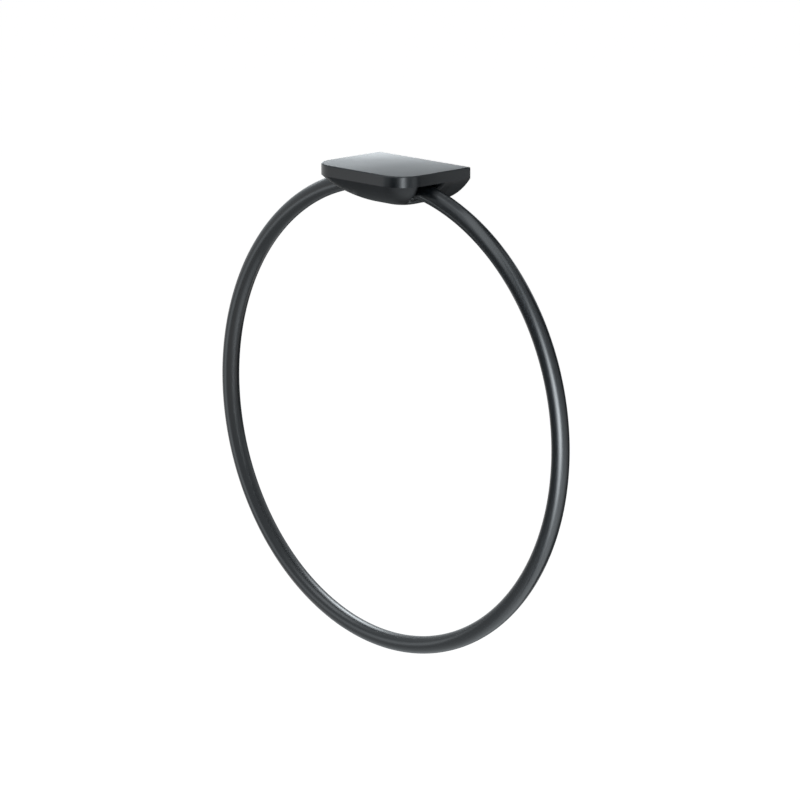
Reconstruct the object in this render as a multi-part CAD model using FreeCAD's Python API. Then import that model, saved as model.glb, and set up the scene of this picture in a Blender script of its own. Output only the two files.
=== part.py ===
import FreeCAD, Part
import math
import os

# Towel ring for a wall: a closed round bar held in a flat-topped block with a dished underside.
# Frame: origin on the wall plane, midway between the wall screws, +Z up, +Y into the wall.
# All sizes are in millimetres.

# Ring
RING_OUTER = 220.0
BAR_DIAMETER = 8.0
RING_STANDOFF = 22.0
BAR_RISE = 2.0

# Block: a flat plate on a dished body
BLOCK_WIDTH = 58.0
BLOCK_DEPTH = 42.4
PLATE_THICK = 5.0
BOWL_DEPTH = 12.7
KEEL_WIDTH = 6.0
CORNER_RADIUS = 12.0
CORNER_FULLNESS = 0.64
CORNER_EASE = 4
PLATE_EDGE_RADIUS = 0.5
SPLIT_HEIGHT = 2.5
BOWL_STATIONS = 7

# Passage of the ring through the block, whose mouths are rounded as far as the metal round them allows
BAR_SIDE_GAP = 0.4
BAR_SEAT_GAP = 0.1
PASSAGE_LEAN = 28.0
MOUTH_RADIUS_MOST = 2.4
MOUTH_LIP_SHARE = 0.36
MOUTH_FRONT_SHARE = 0.155

# Wall plate and the pocket that takes it
POCKET_SIDE_WALL = 5.0
POCKET_WALL = 3.0
POCKET_ROOF = 2.0
WALL_PLATE_THICK = 8.0
WALL_PLATE_GAP = 0.5
WALL_PLATE_CORNER = 1.0
WALL_SCREW_SPACING = 26.0
WALL_SCREW_HOLE = 4.5
WALL_SCREW_SINK = 8.4

# Two screws that join the plate to the body, driven from beneath behind the ring
COVER_SCREW_DIAMETER = 3.0
COVER_SCREW_LENGTH = 10.0
COVER_SCREW_GRIP = 7.5
COVER_SCREW_HEAD = 5.5
COVER_SCREW_HEAD_HEIGHT = 3.0
COVER_SCREW_SOCKET = 2.5
COVER_SCREW_SOCKET_DEPTH = 2.0
COVER_SCREW_SPACING = 22.0

# Two pegs cast on the plate in front of the ring
PEG_DIAMETER = 4.0
PEG_LENGTH = 5.0
PEG_SPACING = 30.0
PEG_TO_RING = 11.5

# Grub screw that locks the block on the wall plate
GRUB_DIAMETER = 4.0
GRUB_LENGTH = 5.0
GRUB_SOCKET = 2.0
GRUB_SOCKET_DEPTH = 1.6
GRUB_RECESS = 0.5

# Clearances and small edges
THREAD_GAP = 0.05
PEG_GAP = 0.1
SCREW_GAP = 0.2
END_GAP = 0.3
GRUB_END_GAP = 0.1
TIP_CHAMFER = 0.4
TOUCH = 0.01

RING_RADIUS = (RING_OUTER - BAR_DIAMETER) / 2
BAR_RADIUS = BAR_DIAMETER / 2
RING_CENTRE = FreeCAD.Vector(0, -RING_STANDOFF, SPLIT_HEIGHT + BAR_RISE - BAR_RADIUS - RING_RADIUS)
PASSAGE_RADIUS = BAR_RADIUS + BAR_SIDE_GAP
PASSAGE_SHIFT = BAR_SIDE_GAP - BAR_SEAT_GAP
PASSAGE_REACH = 2 * BAR_DIAMETER
PASSAGE_SWEEP = math.degrees(math.asin(BLOCK_WIDTH / RING_RADIUS)) * 2
PLATE_TOP = SPLIT_HEIGHT + PLATE_THICK
KEEL_HEIGHT = SPLIT_HEIGHT - BOWL_DEPTH
BOWL_RUN = (BLOCK_WIDTH - KEEL_WIDTH) / 2
BOWL_ARC = (BOWL_RUN**2 + BOWL_DEPTH**2) / (2 * BOWL_DEPTH)
BOWL_ARC_HEIGHT = KEEL_HEIGHT + BOWL_ARC
LIP_DEPTH = RING_CENTRE.z + RING_RADIUS + PASSAGE_SHIFT - PASSAGE_RADIUS - KEEL_HEIGHT
LIP_FRONT = BLOCK_DEPTH - RING_STANDOFF - PASSAGE_RADIUS
MOUTH_RADIUS = min(MOUTH_RADIUS_MOST, MOUTH_LIP_SHARE * LIP_DEPTH, MOUTH_FRONT_SHARE * LIP_FRONT)
POCKET_DEPTH = WALL_PLATE_THICK + WALL_PLATE_GAP
POCKET_WIDTH = BLOCK_WIDTH - 2 * POCKET_SIDE_WALL
COVER_SCREW_Y = (PASSAGE_RADIUS - RING_STANDOFF - POCKET_DEPTH) / 2
PEG_Y = -RING_STANDOFF - PEG_TO_RING
GRUB_Y = -WALL_PLATE_THICK / 2
ARC_HANDLE = 4 / 3 * math.tan(math.pi / 8)
UP = FreeCAD.Vector(0, 0, 1)
TO_WALL = FreeCAD.Vector(0, 1, 0)


def vec(x, y, z):
    return FreeCAD.Vector(x, y, z)


def line(a, b):
    return Part.LineSegment(a, b).toShape()


def arc(a, middle, b):
    return Part.Arc(a, middle, b).toShape()


def upright(radius, height, x, y, z):
    """Vertical cylinder that starts at the height z."""
    return Part.makeCylinder(radius, height, vec(x, y, z), UP)


def edges_at(shape, height):
    """Edges that lie wholly at one height."""
    return [e for e in shape.Edges if max(abs(v.Z - height) for v in e.Vertexes) < TOUCH]


def pair(spacing):
    """Places of two like features, one each side of the middle."""
    return (-spacing / 2, spacing / 2)


def corner_radius(half_width):
    """Full corner radius at the rim, easing to a share of the half width at the keel."""
    most = CORNER_FULLNESS * half_width
    return CORNER_RADIUS / (1 + (CORNER_RADIUS / most)**CORNER_EASE)**(1 / CORNER_EASE)


def block_outline(inset, height, back):
    """Outline at one height: a straight back, then one smooth curve for sides, front and round corners."""
    x = BLOCK_WIDTH / 2 - inset
    front = inset - BLOCK_DEPTH
    r = corner_radius(x)
    near = r * (1 - ARC_HANDLE)
    far = r * (1 + ARC_HANDLE)
    right = [
        vec(x, back, height),
        vec(x, (back + front + far) / 2, height),
        vec(x, front + far, height),
        vec(x, front + near, height),
        vec(x - near, front, height),
        vec(x - far, front, height),
    ]
    left = [vec(-p.x, p.y, p.z) for p in reversed(right)]
    curve = Part.BSplineCurve()
    curve.buildFromPolesMultsKnots(right + left, [4, 2, 2, 2, 2, 4], range(6), False, 3)
    return Part.Wire([line(left[-1], right[0]), curve.toShape()])


def bowl():
    """Solid dished underside: one arc falls inwards from both sides and the front to a narrow keel."""
    steepest = math.asin(BOWL_RUN / BOWL_ARC)
    behind = POCKET_DEPTH
    sections = []
    for i in range(BOWL_STATIONS):
        angle = steepest * (1 - i / (BOWL_STATIONS - 1))
        inset = BOWL_RUN - BOWL_ARC * math.sin(angle)
        height = BOWL_ARC_HEIGHT - BOWL_ARC * math.cos(angle)
        sections.append(block_outline(inset, height, behind))
    loft = Part.makeLoft(sections, True, False)
    wall = Part.makeBox(2 * BLOCK_WIDTH, 2 * behind, 2 * BOWL_DEPTH)
    wall.translate(vec(-BLOCK_WIDTH, 0, SPLIT_HEIGHT - 1.5 * BOWL_DEPTH))
    return loft.cut(wall)


def ring():
    """Closed round bar in a plane parallel to the wall."""
    return Part.makeTorus(RING_RADIUS, BAR_RADIUS, RING_CENTRE, TO_WALL)


def passage(shift, reach, lean):
    """Channel that follows the bar: round on one side, then an upright rear wall and a leaning front wall."""
    r = PASSAGE_RADIUS
    y = RING_CENTRE.y
    z = RING_CENTRE.z + RING_RADIUS + shift
    tilt = math.radians(lean)
    round_end = z - math.copysign(r, reach)
    touch = vec(0, y - r * math.cos(tilt), z - math.copysign(r, reach) * math.sin(tilt))
    front = vec(0, y - r / math.cos(tilt) - abs(reach) * math.tan(tilt), z + reach)
    rear = vec(0, y + r, z)
    profile = Part.Face(Part.Wire([
        line(front, touch),
        arc(touch, vec(0, y, round_end), rear),
        line(rear, vec(0, y + r, z + reach)),
        line(vec(0, y + r, z + reach), front),
    ]))
    profile.rotate(RING_CENTRE, TO_WALL, -PASSAGE_SWEEP / 2)
    return profile.revolve(RING_CENTRE, TO_WALL, PASSAGE_SWEEP)


def round_mouths(body, skin, channel):
    """Round the edges where the ring leaves the dished surface."""
    def at_mouth(edge):
        p = edge.valueAt((edge.FirstParameter + edge.LastParameter) / 2)
        on_skin = skin.isInside(p, TOUCH, True) and not skin.isInside(p, TOUCH, False)
        return on_skin and p.z < SPLIT_HEIGHT - TOUCH and channel.isInside(p, TOUCH, True)
    return body.makeFillet(MOUTH_RADIUS, [e for e in body.Edges if at_mouth(e)])


def pocket_outline(gap, y):
    """Flat top, upright ends and a lower edge parallel to the dished underside."""
    x = POCKET_WIDTH / 2 - gap
    top = PLATE_TOP - POCKET_ROOF - gap
    keel = KEEL_WIDTH / 2
    r = BOWL_ARC - POCKET_WALL - gap
    low = BOWL_ARC_HEIGHT - r
    angle = math.asin((x - keel) / r)
    end = BOWL_ARC_HEIGHT - r * math.cos(angle)
    middle_x = keel + r * math.sin(angle / 2)
    middle_z = BOWL_ARC_HEIGHT - r * math.cos(angle / 2)
    return Part.Face(Part.Wire([
        line(vec(-x, y, top), vec(x, y, top)),
        line(vec(x, y, top), vec(x, y, end)),
        arc(vec(x, y, end), vec(middle_x, y, middle_z), vec(keel, y, low)),
        line(vec(keel, y, low), vec(-keel, y, low)),
        arc(vec(-keel, y, low), vec(-middle_x, y, middle_z), vec(-x, y, end)),
        line(vec(-x, y, end), vec(-x, y, top)),
    ]))


def pocket():
    """Space at the back of the block for the wall plate."""
    return pocket_outline(0, -POCKET_DEPTH).extrude(TO_WALL * (2 * POCKET_DEPTH))


def hex_socket(width, depth, x, y, z):
    """Six-sided recess cut upwards from the height z."""
    circle = width / math.sqrt(3)
    turns = [math.radians(60 * i) for i in range(7)]
    corners = [vec(x + circle * math.cos(t), y + circle * math.sin(t), z) for t in turns]
    return Part.Face(Part.makePolygon(corners)).extrude(UP * depth)


def holder_body():
    """Dished casting with the saddle for the ring, the wall plate's pocket and the screw holes."""
    skin = bowl()
    channel = passage(PASSAGE_SHIFT, PASSAGE_REACH, PASSAGE_LEAN)
    body = round_mouths(skin.cut(channel), skin, channel)
    cuts = [pocket()]
    seat = SPLIT_HEIGHT - COVER_SCREW_GRIP
    shank = COVER_SCREW_DIAMETER / 2 + SCREW_GAP
    head = COVER_SCREW_HEAD / 2 + SCREW_GAP
    for x in pair(COVER_SCREW_SPACING):
        cuts.append(upright(shank, BOWL_DEPTH, x, COVER_SCREW_Y, seat))
        cuts.append(upright(head, BOWL_DEPTH, x, COVER_SCREW_Y, seat - BOWL_DEPTH))
    for x in pair(PEG_SPACING):
        depth = PEG_LENGTH + END_GAP
        cuts.append(upright(PEG_DIAMETER / 2 + PEG_GAP, depth, x, PEG_Y, SPLIT_HEIGHT - depth))
    thread = GRUB_DIAMETER / 2 + THREAD_GAP
    cuts.append(upright(thread, 2 * POCKET_WALL, 0, GRUB_Y, KEEL_HEIGHT - POCKET_WALL / 2))
    return body.cut(cuts)


def top_plate():
    """Flat cover with a softened top edge, a groove over the bar and a recess over the wall plate."""
    x = BLOCK_WIDTH / 2
    plate = Part.makeBox(BLOCK_WIDTH, BLOCK_DEPTH, PLATE_THICK, vec(-x, -BLOCK_DEPTH, SPLIT_HEIGHT))
    front = [e for e in plate.Edges if e.CenterOfMass.y < TOUCH - BLOCK_DEPTH]
    plate = plate.makeFillet(corner_radius(x), [e for e in front if abs(e.CenterOfMass.x) > x - TOUCH])
    rim = [e for e in edges_at(plate, PLATE_TOP) if e.CenterOfMass.y < -TOUCH]
    plate = plate.makeFillet(PLATE_EDGE_RADIUS, rim)
    peg_end = SPLIT_HEIGHT - PEG_LENGTH
    for x in pair(PEG_SPACING):
        peg = upright(PEG_DIAMETER / 2, PEG_LENGTH + PLATE_THICK / 2, x, PEG_Y, peg_end)
        plate = plate.fuse(peg.makeChamfer(TIP_CHAMFER, edges_at(peg, peg_end)))
    cuts = [passage(-PASSAGE_SHIFT, -PASSAGE_REACH, 0), pocket()]
    bite = COVER_SCREW_LENGTH - COVER_SCREW_GRIP + END_GAP
    for x in pair(COVER_SCREW_SPACING):
        cuts.append(upright(COVER_SCREW_DIAMETER / 2 + THREAD_GAP, bite, x, COVER_SCREW_Y, SPLIT_HEIGHT))
    return plate.cut(cuts)


def cover_screw(x):
    """Cap screw with its head down in the body and its end in the plate."""
    seat = SPLIT_HEIGHT - COVER_SCREW_GRIP
    start = seat - COVER_SCREW_HEAD_HEIGHT
    head = upright(COVER_SCREW_HEAD / 2, COVER_SCREW_HEAD_HEIGHT, x, COVER_SCREW_Y, start)
    shank = upright(COVER_SCREW_DIAMETER / 2, COVER_SCREW_LENGTH, x, COVER_SCREW_Y, seat)
    shank = shank.makeChamfer(TIP_CHAMFER, edges_at(shank, seat + COVER_SCREW_LENGTH))
    socket = hex_socket(COVER_SCREW_SOCKET, COVER_SCREW_SOCKET_DEPTH, x, COVER_SCREW_Y, start)
    return head.fuse(shank).removeSplitter().cut(socket)


def cover_screws():
    """The two like screws, as separate solids."""
    return Part.makeCompound([cover_screw(x) for x in pair(COVER_SCREW_SPACING)])


def wall_plate():
    """Thick plate that stays on the wall: two countersunk holes and one for the grub screw's end."""
    plate = pocket_outline(WALL_PLATE_GAP, -WALL_PLATE_THICK).extrude(TO_WALL * WALL_PLATE_THICK)
    top = edges_at(plate, PLATE_TOP - POCKET_ROOF - WALL_PLATE_GAP)
    corners = [e for e in top if abs(e.CenterOfMass.x) > POCKET_WIDTH / 4]
    plate = plate.makeFillet(WALL_PLATE_CORNER, corners)
    sink = (WALL_SCREW_SINK - WALL_SCREW_HOLE) / 2
    cuts = []
    for x in pair(WALL_SCREW_SPACING):
        face = vec(x, -WALL_PLATE_THICK, 0)
        cuts.append(Part.makeCylinder(WALL_SCREW_HOLE / 2, WALL_PLATE_THICK, face, TO_WALL))
        cuts.append(Part.makeCone(WALL_SCREW_SINK / 2, WALL_SCREW_HOLE / 2, sink, face, TO_WALL))
    end = KEEL_HEIGHT + GRUB_RECESS + GRUB_LENGTH + GRUB_END_GAP
    cuts.append(upright(GRUB_DIAMETER / 2 + SCREW_GAP, end - KEEL_HEIGHT, 0, GRUB_Y, KEEL_HEIGHT))
    return plate.cut(cuts)


def grub_screw():
    """Headless screw in the keel, reached from beneath."""
    start = KEEL_HEIGHT + GRUB_RECESS
    screw = upright(GRUB_DIAMETER / 2, GRUB_LENGTH, 0, GRUB_Y, start)
    ends = edges_at(screw, start) + edges_at(screw, start + GRUB_LENGTH)
    screw = screw.makeChamfer(TIP_CHAMFER, ends)
    return screw.cut(hex_socket(GRUB_SOCKET, GRUB_SOCKET_DEPTH, 0, GRUB_Y, start))


PIECES = {
    "ring": ring,
    "holder_body": holder_body,
    "top_plate": top_plate,
    "cover_screws": cover_screws,
    "wall_plate": wall_plate,
    "grub_screw": grub_screw,
}


def main():
    os.makedirs("parts", exist_ok=True)
    for name, make in PIECES.items():
        make().exportStep(f"parts/{name}.step")


main()
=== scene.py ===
import math
from typing import NamedTuple

import bpy
import numpy as np
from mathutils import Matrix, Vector


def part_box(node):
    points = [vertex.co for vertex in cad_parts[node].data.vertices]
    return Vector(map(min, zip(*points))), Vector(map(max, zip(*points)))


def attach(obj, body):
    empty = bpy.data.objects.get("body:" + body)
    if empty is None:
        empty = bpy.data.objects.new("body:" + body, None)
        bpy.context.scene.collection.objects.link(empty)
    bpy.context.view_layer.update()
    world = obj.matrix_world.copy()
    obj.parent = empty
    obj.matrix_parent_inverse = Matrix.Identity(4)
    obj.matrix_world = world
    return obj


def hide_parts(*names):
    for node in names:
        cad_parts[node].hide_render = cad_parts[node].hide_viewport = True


bl_info = {
    "name": "Towel ring finishes",
    "version": (1, 0, 0),
    "blender": (4, 5, 0),
    "location": "3D View > Sidebar > Towel ring",
    "description": "Dresses the towel ring's pieces and sets the studio round them",
    "category": "Object",
}

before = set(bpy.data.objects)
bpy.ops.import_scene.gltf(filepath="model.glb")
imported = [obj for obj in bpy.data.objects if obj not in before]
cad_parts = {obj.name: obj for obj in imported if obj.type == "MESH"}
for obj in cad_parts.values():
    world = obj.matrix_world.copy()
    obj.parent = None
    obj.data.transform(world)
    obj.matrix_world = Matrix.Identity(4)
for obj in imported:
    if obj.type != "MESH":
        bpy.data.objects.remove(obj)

MM = 0.001
WHITE = (1.0, 1.0, 1.0)
SENSOR_WIDTH = 36.0
FLOOR_REACH = 15.0

# Noise textures: scales in features per metre, details in layers, and grit as the share of each finer layer
NOISE_LOW, NOISE_HIGH = 0.3, 0.7
PLAIN_GRIT = 0.5

# Satin black coating: swells and specks share its height, and drift and specks share its tone
COAT_GROUP = "sprayed_coat"
COAT_IOR = 1.46
COAT_STRENGTH = 1.0
PEEL_SIZE = 1.6 * MM
GRAIN_SIZE = 0.12 * MM
SPRAY_DETAIL = 1.0
DRIFT_SCALE = 28.0
DRIFT_DETAIL = 3.0
PEEL_SHARE = 0.6
DRIFT_SHARE = 0.7

# Bare zinc casting: a sandy skin with dull clouds
SAND_SCALE = 2600.0
SAND_DETAIL = 3.0
SAND_GRIT = 0.6
SAND_ROUGHNESS = 0.16
SAND_RELIEF = 0.02 * MM
SAND_STRENGTH = 0.8
CLOUD_SCALE = 120.0
CLOUD_DETAIL = 4.0

# Turned steel: fine rings with smudges
TURNING_PITCH = 0.18 * MM
TURNING_RELIEF = 0.003 * MM
TURNING_STRENGTH = 0.6
SMUDGE_SCALE = 900.0
SMUDGE_DETAIL = 3.0
SMUDGE_SHADE = 0.8
SMUDGE_POLISH = 0.06
SMUDGE_DULL = 0.08

# Colour sockets of a Mix node, by number because its other sockets have the same names
MIX_FACTOR, MIX_A, MIX_B, MIX_RESULT = 0, 6, 7, 2

# The ring's size and place, read from the frame
RING_LOW, RING_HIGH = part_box("ring")
RING_CENTRE = (RING_LOW + RING_HIGH) / 2
BAR_RADIUS = (RING_HIGH.y - RING_LOW.y) / 2
RING_RADIUS = (RING_HIGH.z - RING_LOW.z) / 2 - BAR_RADIUS

# Where the screws are, read from the frame
COVER_LOW, COVER_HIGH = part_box("cover_screws")
GRUB_LOW, GRUB_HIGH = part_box("grub_screw")

# How a card's strength runs along one of its sides: stops of (place from 0 to 1, share of the strength)
EVEN = ((0, 1), (1, 1))
BELL = ((0, 0.1), (0.5, 1), (1, 0.1))


class Card(NamedTuple):
    """A flat rectangle of light that only mirror rays see. Across and up are its half sides, and its front
    is the side that across x up points to."""
    name: str
    middle: tuple
    across: tuple
    up: tuple
    strength: float
    across_levels: tuple = EVEN
    up_levels: tuple = EVEN


CARDS = (
    Card("right_key", (0.383, -0.195, -0.035), (-0.281, 0.091, 0), (0, 0, 0.385), 21.5,
         ((0, 0.4), (0.4, 0.6), (0.795, 1), (1, 0)),
         ((0, 0.2), (0.14, 0.24), (0.435, 1), (0.66, 0.22), (1, 0.18))),
    Card("right_side", (0.224, -0.001, -0.12), (0.014, -0.079, 0), (0, 0, 0.24), 3.3,
         ((0, 0.35), (0.35, 0.9), (0.75, 1), (1, 1.5)),
         ((0, 1), (0.35, 0.9), (0.52, 0.6), (0.70, 0.38), (1, 0.4))),
    Card("right_above", (0.154, -0.14, 0.182), (0, 0.16, 0), (0.109, 0, 0.167), 3.4,
         ((0, 0.75), (0.6, 1), (0.85, 0.9), (0.9, 0.6), (0.94, 0.1), (1, 0.05))),
    Card("right_front", (0.075, -0.188, -0.10), (-0.068, 0.134, 0), (0, 0, 0.20), 1.8, EVEN,
         ((0, 0.63), (0.2, 0.5), (0.4, 0.14), (0.625, 0.14), (0.74, 0.22), (0.775, 0.7), (1, 1))),
    Card("right_back", (0.113, 0.03, -0.12), (0.025, 0, 0), (0, 0, 0.15), 0.12),
    Card("right_back_side", (0.225, 0.12, -0.035), (0.075, 0, 0), (0, 0, 0.065), 1.0),
    Card("far_back", (0, 0.47, -0.25), (0.41, 0, 0), (0, 0, 0.15), 0.12),
    Card("left_front", (-0.256, -0.275, -0.215), (-0.11, 0.19, 0), (0, 0, 0.115), 3.0, BELL,
         ((0, 0.3), (0.26, 0.5), (0.56, 1), (0.8, 1), (1, 0.6))),
    Card("below", (0.05, -0.07, -0.34), (0.30, 0, 0), (0, 0.28, 0), 3.2,
         ((0, 0.3), (0.4, 0.36), (0.5, 0.55), (0.65, 0.85), (0.75, 1), (1, 1)),
         ((0, 0.6), (0.45, 1), (0.68, 1), (0.83, 0.3), (1, 0.25))),
    Card("back_left_high", (-0.214, 0.198, 0.20), (0.169, 0.141, 0), (0.116, -0.138, 0.126), 20.0, BELL,
         ((0, 0), (0.5, 1), (0.66, 0.5), (0.8, 0.12), (1, 0))),
    Card("under_near", (-0.024, 0.0045, -0.055), (0.054, 0, 0), (0, 0.0645, 0), 0.9,
         ((0, 1), (0.165, 0.7), (0.27, 0.17), (0.6, 0.18), (0.73, 0.5), (0.85, 0.62), (1, 0.55)),
         ((0, 1), (0.5, 1), (0.75, 0.3), (1, 0.3))),
    # Next two: dark sheets just below the block and the bar inside it, painted shade under the block that
    # its underside reflects
    Card("under_front_painted_shade", (-0.0165, -0.0375, -0.012), (0.0205, 0.0025, 0), (0, 0.0075, 0), 0.15),
    Card("under_middle_painted_shade", (-0.006, -0.0245, -0.013), (0.012, 0, 0), (0, 0.0075, 0), 0.15),
    Card("arc_back", (0.045, 0.06, 0.055), (0.032, 0, 0), (0, 0, 0.055), 0.1),
    # Next two: dark sheets at the slot's opening, painted shade on the bar where it enters the slot and
    # inside the slot
    Card("bar_painted_shade", (0.0245, -0.0365, -0.0133), (-0.0145, 0, 0.0055), (0, 0, 0.005), 0.25),
    Card("slot_painted_shade", (0.031, -0.016, -0.0125), (0.005, 0, 0), (0, 0.004, 0), 0.1),
    Card("under_right", (0.078, 0.04, -0.055), (0.042, 0, 0), (0, 0.05, 0), 0.15),
    Card("under_back", (-0.10, 0.095, -0.055), (0.12, 0, 0), (0, 0.09, 0), 0.05),
    Card("top_strip", (-0.057, 0.035, 0.0155), (0.057, 0.059, 0), (0, 0, 0.008), 4.3,
         ((0, 0.45), (0.3, 1), (0.6, 0.9), (1, 0.2)), ((0, 1), (0.5, 1), (1, 0.05))),
    Card("top_strip_above", (-0.057, 0.035, 0.0735), (0.057, 0.059, 0), (0, 0, 0.05), 0.12),
    Card("corner", (0.042, -0.055, 0.0015), (-0.006, -0.019, 0), (0, 0, 0.0105), 9.0,
         ((0, 0.06), (0.25, 0.1), (0.45, 1), (0.65, 0.1), (1, 0.03))),
    Card("corner_dark", (0.0245, -0.055, 0.0008), (-0.0055, 0, 0), (0, 0, 0.005), 0.05),
    # Dark sheet beside the slot's opening: painted shade on the opening's lip, keeping the key card's
    # reflection off it
    Card("mouth_painted_shade", (0.042, -0.055, -0.0395), (-0.006, -0.019, 0), (0, 0, 0.0305), 0.2),
)


def colour_prop(name, description, default):
    """A colour that a user may change."""
    return bpy.props.FloatVectorProperty(
        name=name, description=description, default=default,
        subtype="COLOR", size=3, min=0.0, max=1.0)


def share_prop(name, description, default):
    """A number from 0 to 1 that a user may change."""
    return bpy.props.FloatProperty(
        name=name, description=description, default=default,
        subtype="FACTOR", min=0.0, max=1.0)


def length_prop(name, description, default):
    """A length in metres that a user may change."""
    return bpy.props.FloatProperty(
        name=name, description=description, default=default,
        subtype="DISTANCE", unit="LENGTH", precision=5, min=0.0)


def angle_prop(name, description, degrees):
    """An angle that a user may change."""
    return bpy.props.FloatProperty(
        name=name, description=description, default=math.radians(degrees), subtype="ANGLE")


def number_prop(name, description, default):
    """A plain number that a user may change."""
    return bpy.props.FloatProperty(name=name, description=description, default=default)


class CoatSettings(bpy.types.PropertyGroup):
    """Satin black coating of the ring and the block."""
    deep: colour_prop("Deep tone", "Darker of the coating's two tones", (0.0035, 0.0050, 0.0066))
    pale: colour_prop("Pale tone", "Paler of the coating's two tones", (0.0060, 0.0080, 0.0100))
    roughness: share_prop("Roughness", "Roughness of the satin coating", 0.30)
    roughness_spread: share_prop("Roughness spread", "How far the roughness drifts each way", 0.03)
    peel_size: length_prop("Peel size", "Width of one swell of the coating", PEEL_SIZE)
    grain_size: length_prop("Grain size", "Width of one speck of the coating", GRAIN_SIZE)
    relief: length_prop("Relief", "Height of the coating's swells and specks", 0.004 * MM)


class MetalSettings(bpy.types.PropertyGroup):
    """Bare metals behind and beneath the block."""
    zinc: colour_prop("Zinc", "Bare cast zinc", (0.42, 0.43, 0.45))
    zinc_dull: colour_prop("Dull zinc", "Bare cast zinc where it has dulled", (0.30, 0.31, 0.33))
    steel: colour_prop("Steel", "Stainless steel of the screws", (0.50, 0.50, 0.51))
    zinc_roughness: share_prop("Zinc roughness", "Roughness of the bare casting", 0.52)
    steel_roughness: share_prop("Steel roughness", "Roughness of the turned screws", 0.30)


class StudioSettings(bpy.types.PropertyGroup):
    """Camera, even light, lamp and floor."""
    azimuth: angle_prop("Azimuth", "Camera's turn about the ring from straight on", 45.768)
    elevation: angle_prop("Elevation", "Camera's height above the ring's middle", 13.330)
    distance: length_prop("Distance", "Camera to the ring's middle", 1.7811)
    lens: bpy.props.FloatProperty(
        name="Lens", description="Focal length", default=178.35, subtype="DISTANCE_CAMERA")
    shift_x: number_prop("Shift X", "Sideways shift of the frame", 0.01395)
    shift_y: number_prop("Shift Y", "Upward shift of the frame", 0.01669)
    world_level: number_prop("World level", "Strength of the even light from all round", 0.45)
    cool: colour_prop("Cool white", "Tint of the studio's light", (0.90, 0.96, 1.0))
    lamp_azimuth: angle_prop("Lamp azimuth", "Soft lamp's turn to the right of straight on", -30)
    lamp_elevation: angle_prop("Lamp elevation", "Soft lamp's height above the ring's middle", 55)
    lamp_distance: length_prop("Lamp distance", "Soft lamp to the ring's middle", 1.6)
    lamp_size: length_prop("Lamp size", "Width of the soft lamp", 0.9)
    lamp_power: number_prop("Lamp power", "Power of the soft lamp in watts", 6.0)
    floor_drop: length_prop("Floor drop", "Floor below the ring's lowest point", 0.35)
    floor_tone: share_prop("Floor tone", "Paleness of the floor", 0.8)


def linked(obj):
    """Puts a new object in the scene and hands it on."""
    bpy.context.scene.collection.objects.link(obj)
    return obj


def closed_mesh(name, points):
    """Quads over a grid of points, shape (rows, columns, 3), that closes on itself both ways: each cell
    joins four neighbours, and the last row and column join the first."""
    rows, columns = points.shape[:2]
    row, column = np.indices((rows, columns))
    start = row * columns
    next_start = (row + 1) % rows * columns
    next_column = (column + 1) % columns
    cells = [start + column, next_start + column, next_start + next_column, start + next_column]
    quads = np.stack(cells, -1).reshape(-1, 4)
    mesh = bpy.data.meshes.new(name)
    mesh.vertices.add(rows * columns)
    mesh.vertices.foreach_set("co", points.reshape(-1).astype(np.float32))
    mesh.loops.add(quads.size)
    mesh.loops.foreach_set("vertex_index", quads.reshape(-1).astype(np.int32))
    mesh.polygons.add(len(quads))
    mesh.polygons.foreach_set("loop_start", np.arange(0, quads.size, 4, dtype=np.int32))
    mesh.polygons.foreach_set("use_smooth", np.ones(len(quads), dtype=bool))
    mesh.update(calc_edges=True)
    mesh.validate()
    return linked(bpy.data.objects.new(name, mesh))


def ring_surface(around=480, across=48):
    """Torus: a circle of the bar's radius is carried round a circle of the ring's radius. The distance from
    the ring's axis is ring radius + bar radius * cos(v), and the depth is bar radius * sin(v)."""
    u = np.linspace(0, 2 * math.pi, around, endpoint=False)[:, None]
    v = np.linspace(0, 2 * math.pi, across, endpoint=False)[None, :]
    reach = RING_RADIUS + BAR_RADIUS * np.cos(v)
    x = RING_CENTRE.x + reach * np.sin(u)
    y = RING_CENTRE.y + BAR_RADIUS * np.sin(v)
    z = RING_CENTRE.z + reach * np.cos(u)
    return np.stack(np.broadcast_arrays(x, y, z), -1)


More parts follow.
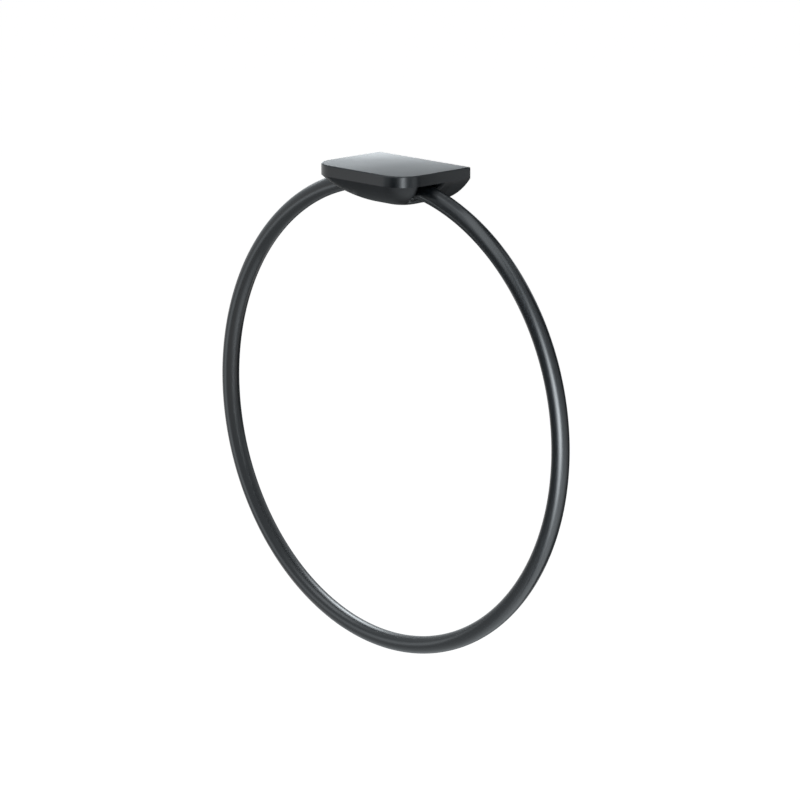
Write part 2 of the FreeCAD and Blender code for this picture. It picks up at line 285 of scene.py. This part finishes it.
class Nodes:
    """Short names for making and joining shader nodes."""

    def __init__(self, tree):
        self.tree = tree

    def add(self, kind, inputs=None, **settings):
        """A new node with its settings, and with its inputs set or joined."""
        node = self.tree.nodes.new(kind)
        for key, value in settings.items():
            setattr(node, key, value)
        for key, value in (inputs or {}).items():
            self.feed(value, node.inputs[key])
        return node

    def feed(self, value, socket):
        """Joins another node's socket to a socket, or sets it to a plain value."""
        if isinstance(value, bpy.types.NodeSocket):
            self.tree.links.new(value, socket)
        else:
            socket.default_value = value

    def maths(self, operation, a, b=0.0):
        """Result of one sum on a and b."""
        return self.add("ShaderNodeMath", {0: a, 1: b}, operation=operation).outputs[0]

    def mixed(self, a, b, share):
        """The sum of a times what the share leaves and b times the share."""
        return self.maths("ADD", self.maths("MULTIPLY", a, 1 - share), self.maths("MULTIPLY", b, share))

    def noise(self, vector, scale, detail, grit=PLAIN_GRIT):
        """Value of a noise texture."""
        inputs = {"Vector": vector, "Scale": scale, "Detail": detail, "Roughness": grit}
        return self.add("ShaderNodeTexNoise", inputs).outputs["Fac"]

    def span(self, value, low, high, to_low, to_high):
        """The value moved from one range to another, and held within it."""
        inputs = {"Value": value, "From Min": low, "From Max": high, "To Min": to_low, "To Max": to_high}
        return self.add("ShaderNodeMapRange", inputs).outputs["Result"]

    def blend(self, factor, a, b):
        """Colour a where the factor is 0 and colour b where it is 1."""
        inputs = {MIX_FACTOR: factor, MIX_A: a, MIX_B: b}
        return self.add("ShaderNodeMix", inputs, data_type="RGBA").outputs[MIX_RESULT]

    def relief(self, shader, height, depth, strength):
        """Bumps on a shader's surface from a height texture, at a depth in metres."""
        bump = self.add("ShaderNodeBump", {"Height": height, "Distance": depth, "Strength": strength})
        self.feed(bump.outputs["Normal"], shader.inputs["Normal"])


def new_group(name, inputs, outputs):
    """An empty shader group with named sockets: each input is (name, default), each output a name."""
    tree = bpy.data.node_groups.new(name, "ShaderNodeTree")
    for label, value in inputs:
        socket = tree.interface.new_socket(label, in_out="INPUT", socket_type="NodeSocketFloat")
        socket.default_value = value
    for label in outputs:
        tree.interface.new_socket(label, in_out="OUTPUT", socket_type="NodeSocketFloat")
    return tree, Nodes(tree), tree.nodes.new("NodeGroupInput"), tree.nodes.new("NodeGroupOutput")


def coat_group():
    """Height and tone of a sprayed coating: broad swells, fine specks and a slow drift over the piece."""
    inputs = [("Peel scale", 1 / PEEL_SIZE), ("Grain scale", 1 / GRAIN_SIZE)]
    tree, n, given, out = new_group(COAT_GROUP, inputs, ["Height", "Tone"])
    place = n.add("ShaderNodeTexCoord").outputs["Object"]
    peel = n.noise(place, given.outputs["Peel scale"], SPRAY_DETAIL)
    grain = n.noise(place, given.outputs["Grain scale"], SPRAY_DETAIL)
    drift = n.noise(place, DRIFT_SCALE, DRIFT_DETAIL)
    n.feed(n.mixed(grain, peel, PEEL_SHARE), out.inputs["Height"])
    n.feed(n.mixed(grain, drift, DRIFT_SHARE), out.inputs["Tone"])
    return tree


def shared_coat():
    """The coating's texture group, made once."""
    return bpy.data.node_groups.get(COAT_GROUP) or coat_group()


def empty_material(name):
    """A material with no nodes, and short names for making them."""
    material = bpy.data.materials.new(name)
    material.use_nodes = True
    material.node_tree.nodes.clear()
    return material, Nodes(material.node_tree)


def new_material(name):
    """A material with only its shader and output, and short names for its nodes."""
    material, n = empty_material(name)
    shader = n.add("ShaderNodeBsdfPrincipled")
    n.add("ShaderNodeOutputMaterial", {"Surface": shader.outputs[0]})
    return material, n, shader


def rgba(colour):
    """A colour as a node's socket takes it."""
    return (*colour, 1.0)


def grey(level):
    """A grey as a node's socket takes it."""
    return rgba([level] * 3)


def coat_material(name, coat):
    """Satin black: near-black in two tones, with the coating's relief and a drifting roughness."""
    material, n, shader = new_material(name)
    scales = {"Peel scale": 1 / coat.peel_size, "Grain scale": 1 / coat.grain_size}
    texture = n.add("ShaderNodeGroup", scales, node_tree=shared_coat()).outputs
    tone = texture["Tone"]
    n.feed(n.blend(tone, rgba(coat.deep), rgba(coat.pale)), shader.inputs["Base Color"])
    low, high = coat.roughness - coat.roughness_spread, coat.roughness + coat.roughness_spread
    n.feed(n.span(tone, NOISE_LOW, NOISE_HIGH, low, high), shader.inputs["Roughness"])
    n.relief(shader, texture["Height"], coat.relief, COAT_STRENGTH)
    shader.inputs["IOR"].default_value = COAT_IOR
    return material


def zinc_material(metal):
    """Bare casting: a fine sandy skin with duller clouds."""
    material, n, shader = new_material("bare_zinc_casting")
    place = n.add("ShaderNodeTexCoord").outputs["Object"]
    sand = n.noise(place, SAND_SCALE, SAND_DETAIL, SAND_GRIT)
    cloud = n.span(n.noise(place, CLOUD_SCALE, CLOUD_DETAIL), NOISE_LOW, NOISE_HIGH, 0.0, 1.0)
    n.feed(n.blend(cloud, rgba(metal.zinc), rgba(metal.zinc_dull)), shader.inputs["Base Color"])
    smoothest = metal.zinc_roughness - SAND_ROUGHNESS / 2
    rough = n.maths("ADD", n.maths("MULTIPLY", sand, SAND_ROUGHNESS), smoothest)
    n.feed(rough, shader.inputs["Roughness"])
    n.relief(shader, sand, SAND_RELIEF, SAND_STRENGTH)
    shader.inputs["Metallic"].default_value = 1.0
    return material


def steel_material(name, metal, half_spacing, depth):
    """Turned steel: fine rings round each screw's axis. The distance from the axis is the length of
    (|x| - half spacing, y - depth), so one formula serves both screws of a pair."""
    material, n, shader = new_material(name)
    place = n.add("ShaderNodeTexCoord").outputs["Object"]
    parts = n.add("ShaderNodeSeparateXYZ", {"Vector": place}).outputs
    x = n.maths("SUBTRACT", n.maths("ABSOLUTE", parts["X"]), half_spacing)
    y = n.maths("SUBTRACT", parts["Y"], depth)
    radius = n.maths("SQRT", n.maths("ADD", n.maths("MULTIPLY", x, x), n.maths("MULTIPLY", y, y)))
    rings = n.maths("SINE", n.maths("MULTIPLY", radius, 2 * math.pi / TURNING_PITCH))
    smudge = n.noise(place, SMUDGE_SCALE, SMUDGE_DETAIL)
    shade = rgba([SMUDGE_SHADE * c for c in metal.steel])
    n.feed(n.blend(smudge, rgba(metal.steel), shade), shader.inputs["Base Color"])
    low, high = metal.steel_roughness - SMUDGE_POLISH, metal.steel_roughness + SMUDGE_DULL
    n.feed(n.span(smudge, NOISE_LOW, NOISE_HIGH, low, high), shader.inputs["Roughness"])
    n.relief(shader, rings, TURNING_RELIEF, TURNING_STRENGTH)
    shader.inputs["Metallic"].default_value = 1.0
    return material


def dress(obj, material):
    """Gives an object one material in place of any it has."""
    obj.data.materials.clear()
    obj.data.materials.append(material)


class TOWELRING_OT_ring(bpy.types.Operator):
    """Make the ring's smooth round bar and give it the satin black coating"""
    bl_idname = "towelring.ring"
    bl_label = "Ring"

    def execute(self, context):
        bar = closed_mesh("ring_bar", ring_surface())
        dress(bar, coat_material("ring_satin_black", context.scene.towelring_coat))
        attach(bar, "root")
        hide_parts("ring")
        return {"FINISHED"}


class TOWELRING_OT_block(bpy.types.Operator):
    """Give the dished body and its flat top the satin black coating"""
    bl_idname = "towelring.block"
    bl_label = "Block"

    def execute(self, context):
        material = coat_material("block_satin_black", context.scene.towelring_coat)
        for name in ("holder_body", "top_plate"):
            dress(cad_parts[name], material)
        return {"FINISHED"}


class TOWELRING_OT_fixings(bpy.types.Operator):
    """Give the wall plate and the screws their bare metals"""
    bl_idname = "towelring.fixings"
    bl_label = "Fixings"

    def execute(self, context):
        metal = context.scene.towelring_metal
        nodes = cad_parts
        head_radius = (COVER_HIGH.y - COVER_LOW.y) / 2
        half_spacing = COVER_HIGH.x - head_radius
        cover_depth = (COVER_LOW.y + COVER_HIGH.y) / 2
        grub_depth = (GRUB_LOW.y + GRUB_HIGH.y) / 2
        dress(nodes["wall_plate"], zinc_material(metal))
        dress(nodes["cover_screws"], steel_material("cover_screw_steel", metal, half_spacing, cover_depth))
        dress(nodes["grub_screw"], steel_material("grub_screw_steel", metal, 0.0, grub_depth))
        return {"FINISHED"}


def seen_directly(n):
    """1 for camera, mirror and transmitted rays, and 0 for all other light."""
    path = n.add("ShaderNodeLightPath").outputs
    seen = n.maths("MAXIMUM", path["Is Camera Ray"], path["Is Glossy Ray"])
    return n.maths("MAXIMUM", seen, path["Is Transmission Ray"])


def make_world(studio):
    """Even cool light from all round: at full strength where seen directly, and white to the camera."""
    world = bpy.data.worlds.new("studio_world")
    bpy.context.scene.world = world
    world.cycles.sampling_method = "NONE"
    world.use_nodes = True
    world.node_tree.nodes.clear()
    n = Nodes(world.node_tree)
    strength = n.span(seen_directly(n), 0.0, 1.0, studio.world_level, 1.0)
    colour = n.blend(n.add("ShaderNodeLightPath").outputs["Is Camera Ray"], rgba(studio.cool), rgba(WHITE))
    light = n.add("ShaderNodeBackground", {"Color": colour, "Strength": strength})
    n.add("ShaderNodeOutputWorld", {"Surface": light.outputs[0]})


def staged(name, centre, across, up):
    """A flat rectangle with its middle at centre and its half sides along two vectors."""
    corners = [centre - across - up, centre + across - up, centre + across + up, centre - across + up]
    mesh = bpy.data.meshes.new(name)
    mesh.from_pydata([tuple(p) for p in corners], [], [(0, 1, 2, 3)])
    mesh.uv_layers.new(name="plan").data.foreach_set("uv", (0, 0, 1, 0, 1, 1, 0, 1))
    sheet = linked(bpy.data.objects.new(name, mesh))
    return sheet


def make_floor(studio):
    """Plain pale floor: it keeps shadows, and a glow that is only seen directly lifts it to white."""
    middle = Vector((RING_CENTRE.x, RING_CENTRE.y, RING_LOW.z - studio.floor_drop))
    floor = staged("floor", middle, Vector((FLOOR_REACH, 0, 0)), Vector((0, FLOOR_REACH, 0)))
    material, n = empty_material("pale_floor")
    tone = studio.floor_tone
    missing = [1 - tone * studio.world_level * c for c in studio.cool]
    matt = n.add("ShaderNodeBsdfDiffuse", {"Color": grey(tone)}).outputs[0]
    glow = n.add("ShaderNodeEmission", {"Color": rgba(missing), "Strength": seen_directly(n)}).outputs[0]
    surface = n.add("ShaderNodeAddShader", {0: matt, 1: glow}).outputs[0]
    n.add("ShaderNodeOutputMaterial", {"Surface": surface})
    dress(floor, material)


def toward(azimuth, elevation):
    """Unit vector at an azimuth from the front, positive to the right, and an elevation, in radians."""
    level = math.cos(elevation)
    return Vector((math.sin(azimuth) * level, -math.cos(azimuth) * level, math.sin(elevation)))


def levels(n, place, stops):
    """Share of a card's strength along one of its sides: it eases from stop to stop."""
    node = n.add("ShaderNodeValToRGB", {"Fac": place})
    ramp = node.color_ramp
    ramp.interpolation = "EASE"
    ends = {0: stops[0], 1: stops[-1]}
    for index, (position, share) in ends.items():
        ramp.elements[index].position = position
        ramp.elements[index].color = grey(share)
    for position, share in stops[1:-1]:
        ramp.elements.new(position).color = grey(share)
    return node.outputs["Color"]


def card_material(card, colour):
    """Light of a reflection card: its strength times the shares along both sides, from its front only."""
    material, n = empty_material(card.name)
    plan = n.add("ShaderNodeSeparateXYZ", {"Vector": n.add("ShaderNodeTexCoord").outputs["UV"]}).outputs
    along_across = levels(n, plan["X"], card.across_levels)
    along_up = levels(n, plan["Y"], card.up_levels)
    strength = n.maths("MULTIPLY", n.maths("MULTIPLY", along_across, along_up), card.strength)
    light = n.add("ShaderNodeEmission", {"Color": rgba(colour), "Strength": strength}).outputs[0]
    clear = n.add("ShaderNodeBsdfTransparent").outputs[0]
    back = n.add("ShaderNodeNewGeometry").outputs["Backfacing"]
    surface = n.add("ShaderNodeMixShader", {0: back, 1: light, 2: clear}).outputs[0]
    n.add("ShaderNodeOutputMaterial", {"Surface": surface})
    return material


def make_cards(studio):
    """Cards that only mirror rays see: they shape what the satin coating reflects and light nothing."""
    for card in CARDS:
        sheet = staged(card.name, Vector(card.middle), Vector(card.across), Vector(card.up))
        dress(sheet, card_material(card, studio.cool))
        sheet.visible_camera = False
        sheet.visible_diffuse = False
        sheet.visible_transmission = False
        sheet.visible_shadow = False


def make_lamp(studio):
    """One soft lamp above and in front, which gives the floor its shadow."""
    way = toward(studio.lamp_azimuth, studio.lamp_elevation)
    data = bpy.data.lights.new("soft_lamp", "AREA")
    data.shape = "DISK"
    data.size = studio.lamp_size
    data.energy = studio.lamp_power
    data.color = studio.cool
    lamp = linked(bpy.data.objects.new("soft_lamp", data))
    lamp.location = RING_CENTRE + studio.lamp_distance * way
    lamp.rotation_euler = (RING_CENTRE - lamp.location).to_track_quat("-Z", "Y").to_euler()
    lamp.visible_camera = False


def make_camera(studio):
    """Camera on the photograph's line of sight, aimed at the ring's middle and shifted to its framing."""
    back = toward(studio.azimuth, studio.elevation)
    data = bpy.data.cameras.new("camera")
    data.sensor_width = SENSOR_WIDTH
    data.lens = studio.lens
    data.shift_x = studio.shift_x
    data.shift_y = studio.shift_y
    camera = linked(bpy.data.objects.new("camera", data))
    camera.location = RING_CENTRE + back * studio.distance
    camera.rotation_euler = (-back).to_track_quat("-Z", "Y").to_euler()
    bpy.context.scene.camera = camera


class TOWELRING_OT_stage(bpy.types.Operator):
    """Set the world, the floor, the cards, the lamp and the camera"""
    bl_idname = "towelring.stage"
    bl_label = "Stage"

    def execute(self, context):
        studio = context.scene.towelring_studio
        make_world(studio)
        make_floor(studio)
        make_cards(studio)
        make_lamp(studio)
        make_camera(studio)
        context.scene.view_settings.view_transform = "Standard"
        return {"FINISHED"}


class TOWELRING_PT_sidebar(bpy.types.Panel):
    """Lists the towel ring's pieces and settings"""
    bl_label = "Towel ring"
    bl_space_type = "VIEW_3D"
    bl_region_type = "UI"
    bl_category = "Towel ring"

    def draw(self, context):
        for operator in OPERATORS:
            self.layout.operator(operator.bl_idname)
        for group in SETTINGS:
            settings = getattr(context.scene, group)
            for key in settings.bl_rna.properties.keys():
                if key not in ("rna_type", "name"):
                    self.layout.prop(settings, key)


OPERATORS = (TOWELRING_OT_ring, TOWELRING_OT_block, TOWELRING_OT_fixings, TOWELRING_OT_stage)
SETTINGS = {
    "towelring_coat": CoatSettings,
    "towelring_metal": MetalSettings,
    "towelring_studio": StudioSettings,
}


def register():
    """Registers the settings, the operators and the panel."""
    for cls in (*SETTINGS.values(), *OPERATORS, TOWELRING_PT_sidebar):
        bpy.utils.register_class(cls)
    for name, cls in SETTINGS.items():
        setattr(bpy.types.Scene, name, bpy.props.PointerProperty(type=cls))


def unregister():
    """Takes the settings, the operators and the panel away again."""
    for name in SETTINGS:
        delattr(bpy.types.Scene, name)
    for cls in (TOWELRING_PT_sidebar, *reversed(OPERATORS), *reversed(SETTINGS.values())):
        bpy.utils.unregister_class(cls)


def main():
    """Makes every piece and the stage."""
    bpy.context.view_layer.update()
    register()
    bpy.ops.towelring.ring()
    bpy.ops.towelring.block()
    bpy.ops.towelring.fixings()
    bpy.ops.towelring.stage()


if __name__ == "__main__":
    main()
